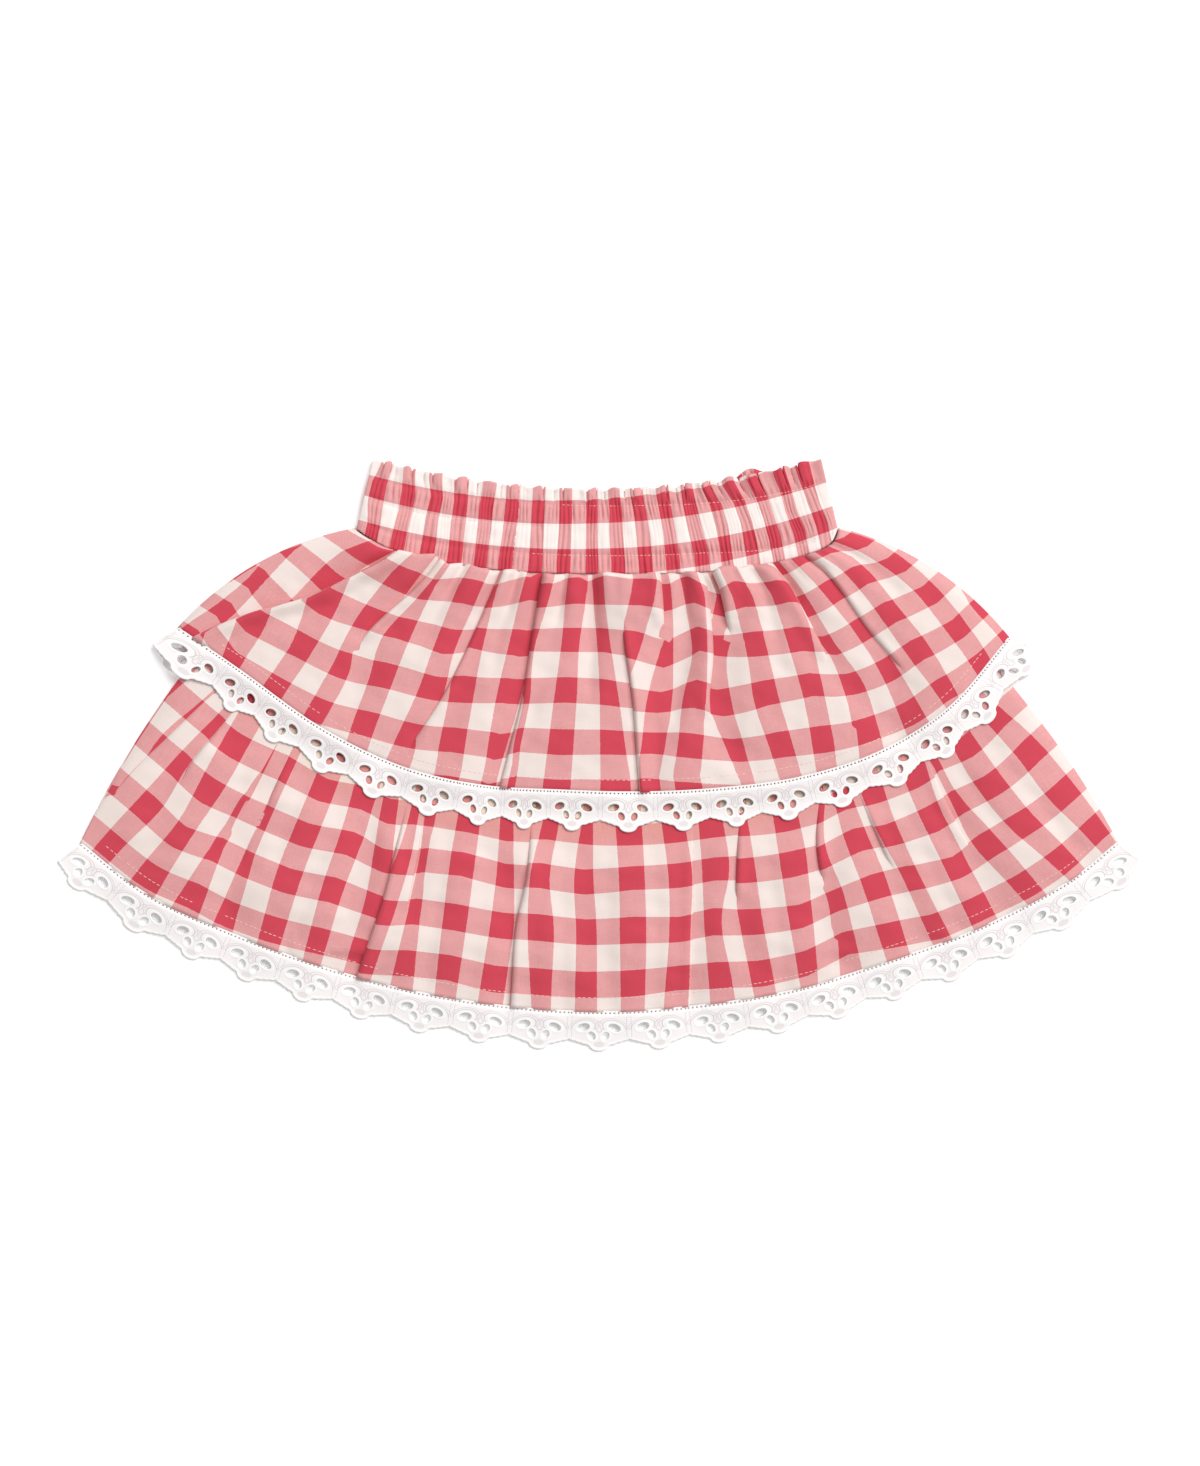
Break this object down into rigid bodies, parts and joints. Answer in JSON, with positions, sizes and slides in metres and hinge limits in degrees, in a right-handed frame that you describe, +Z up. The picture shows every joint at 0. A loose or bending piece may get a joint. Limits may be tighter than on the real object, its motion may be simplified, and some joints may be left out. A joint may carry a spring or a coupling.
{
  "type": "skort",
  "caption": "Child's tiered gingham skort laid flat: shirred elastic waistband, gathered ruffles edged with eyelet lace, plain shorts inside.",
  "frame": {"origin": "middle of the outline, on the surface that the skort lies on", "axes": "+Z up out of the front, +Y towards the waistband, +X to the right as seen from above, which is the wearer's left"},
  "size_m": [0.5478, 0.2971, 0.0109],
  "materials": {
    "gingham_cotton": "woven cotton gingham in red, pink and cream checks, matt",
    "gingham_band": "the same gingham, shirred over elastic with white stitch rows",
    "eyelet_lace": "white cotton eyelet lace, embroidered, matt",
    "plain_cotton": "plain cream cotton, matt",
    "plain_jersey": "plain cream cotton jersey, matt"
  },
  "bodies": {
    "root": {"waistband_front": "gingham_band", "waistband_back": "gingham_band", "tier1_front": "gingham_cotton", "tier1_back": "gingham_cotton", "lace1_front": "eyelet_lace", "lace1_back": "eyelet_lace", "yoke_front": "plain_cotton", "yoke_back": "plain_cotton", "tier2_front": "gingham_cotton", "tier2_back": "gingham_cotton", "lace2_front": "eyelet_lace", "lace2_back": "eyelet_lace", "shorts_front_left": "plain_jersey", "shorts_front_right": "plain_jersey", "shorts_back_left": "plain_jersey", "shorts_back_right": "plain_jersey"}
  },
  "joints": []
}
